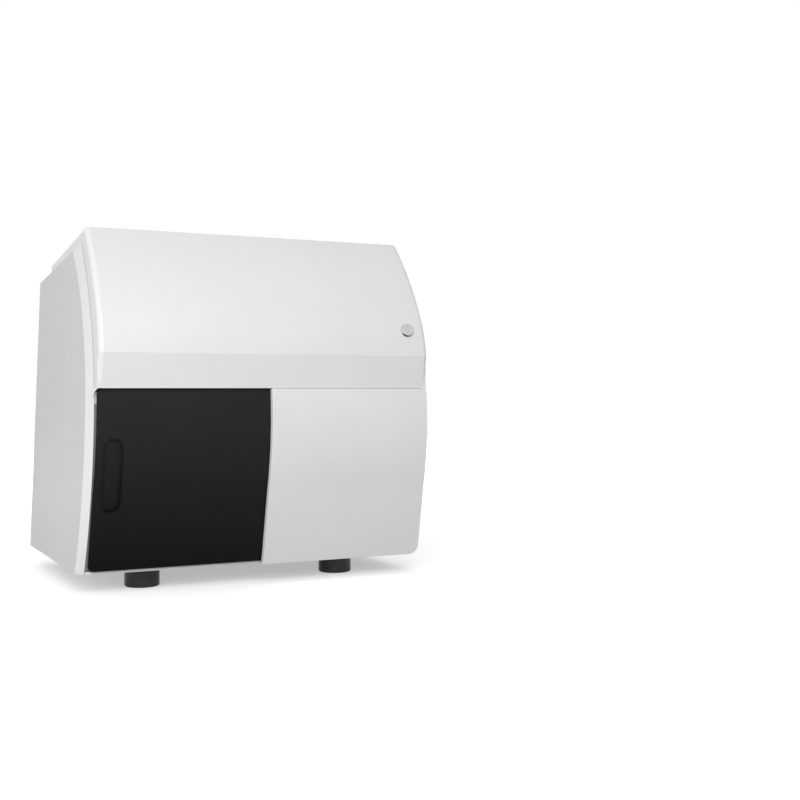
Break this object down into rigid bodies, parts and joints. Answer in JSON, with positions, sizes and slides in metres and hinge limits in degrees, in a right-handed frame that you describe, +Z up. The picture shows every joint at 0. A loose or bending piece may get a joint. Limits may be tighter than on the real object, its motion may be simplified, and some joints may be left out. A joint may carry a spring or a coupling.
{
  "type": "digital slide scanner",
  "caption": "Benchtop microscope slide scanner: curved white hood with a round button, black sliding door, tray magazine on a lift, moving stage and focusing optics.",
  "frame": {"origin": "on the bench, below the middle of the cabinet's bounding box", "axes": "+X to the right seen from the front, -Y towards the front, +Z up"},
  "size_m": [0.56, 0.44, 0.543],
  "materials": {
    "white_shell": "fine satin",
    "white_sheet": "fine texture paint",
    "black_door": "satin black",
    "black_plastic": "fine grain",
    "grey_strip": "matte",
    "base_paint": "powder coat",
    "foot_rubber": "matte",
    "screw_steel": "zinc plated",
    "frame_steel": "powder coat",
    "rail_aluminium": "extruded",
    "glide_nylon": "nylon",
    "liner_black": "matte black paint",
    "black_anodised": "black anodised",
    "tray_aluminium": "brushed, anodised",
    "slide_glass": "clear",
    "ground_steel": "ground",
    "motor_black": "satin",
    "cast_grey": "painted casting",
    "lens_chrome": "polished",
    "camera_grey": "satin",
    "grey_button": "smooth",
    "supply_steel": "galvanised",
    "board_green": "solder mask",
    "post_brass": "turned"
  },
  "bodies": {
    "cabinet": {"top_hood": "white_shell", "side_cover_left": "white_shell", "side_cover_right": "white_shell", "rear_cover": "white_sheet", "front_panel": "white_shell", "door_edge_strip": "grey_strip", "base_plate": "base_paint", "front_sill": "white_shell", "foot_front_left": "foot_rubber", "foot_front_right": "foot_rubber", "foot_rear_left": "foot_rubber", "foot_rear_right": "foot_rubber", "foot_screws": "screw_steel", "side_frame_left": "frame_steel", "side_frame_right": "frame_steel", "front_crossbeam": "frame_steel", "rear_posts": "frame_steel", "rear_cover_screws": "screw_steel", "door_rail_top": "rail_aluminium", "door_rail_bottom": "rail_aluminium", "bay_liner": "liner_black", "lift_guide_rods": "ground_steel", "lift_motor": "motor_black", "stage_base": "cast_grey", "stage_y_guides": "ground_steel", "lamp_housing": "motor_black", "condenser": "black_anodised", "optics_column": "cast_grey", "focus_rail": "ground_steel", "button_switch": "black_plastic", "power_inlet": "black_plastic", "data_ports": "supply_steel", "rocker_frame": "black_plastic", "fan_frame": "black_plastic", "power_supply": "supply_steel", "control_board": "board_green", "board_standoffs": "post_brass"},
    "door": {"sliding_door": "black_door", "door_pull": "black_door", "door_shoes_top": "glide_nylon", "door_shoes_bottom": "glide_nylon"},
    "power_button": {"power_button": "grey_button"},
    "mains_rocker": {"mains_rocker": "black_plastic"},
    "fan_rotor": {"fan_rotor": "black_plastic"},
    "lift": {"lift_carriage": "rail_aluminium", "tray_magazine": "black_anodised", "slide_trays": "tray_aluminium", "stored_slides": "slide_glass"},
    "lift_screw": {"lift_screw": "ground_steel"},
    "stage_y": {"stage_y_carriage": "black_anodised", "stage_x_guides": "ground_steel"},
    "stage_x": {"stage_x_carriage": "black_anodised", "stage_tray": "tray_aluminium", "stage_slides": "slide_glass"},
    "focus_head": {"focus_carriage": "rail_aluminium", "objective": "lens_chrome", "optical_tube": "black_anodised", "camera": "camera_grey"}
  },
  "joints": [
    {"name": "door_slide", "type": "slide", "parent": "cabinet", "child": "door", "axis": [1, 0, 0], "range_m": [0, 0.228]},
    {"name": "power_button_press", "type": "slide", "parent": "cabinet", "child": "power_button", "axis": [0, 0.9508, -0.3098], "range_m": [0, 0.002], "stiffness_N_per_m": 500, "springref_m": -0.002},
    {"name": "mains_rocker_turn", "type": "hinge", "parent": "cabinet", "child": "mains_rocker", "pos_m": [-0.15, 0.213, 0.11], "axis": [1, 0, 0], "range_deg": [0, 16]},
    {"name": "fan_spin", "type": "hinge", "parent": "cabinet", "child": "fan_rotor", "pos_m": [0.18, 0.2, 0.39], "axis": [0, 1, 0], "continuous": true},
    {"name": "magazine_lift", "type": "slide", "parent": "cabinet", "child": "lift", "axis": [0, 0, 1], "range_m": [-0.048, 0.048]},
    {"name": "lift_screw_turn", "type": "hinge", "parent": "cabinet", "child": "lift_screw", "pos_m": [-0.139, -0.03297, 0.16], "axis": [0, 0, 1], "range_deg": [-2170, 2170]},
    {"name": "stage_y_move", "type": "slide", "parent": "cabinet", "child": "stage_y", "axis": [0, 1, 0], "range_m": [-0.03, 0.03]},
    {"name": "stage_x_move", "type": "slide", "parent": "stage_y", "child": "stage_x", "axis": [1, 0, 0], "range_m": [-0.035, 0.035]},
    {"name": "focus_move", "type": "slide", "parent": "cabinet", "child": "focus_head", "axis": [0, 0, 1], "range_m": [-0.002, 0.004]}
  ],
  "couplings": [
    {"joint": "lift_screw_turn", "follows": "magazine_lift", "rad_per_m": 785.4}
  ]
}
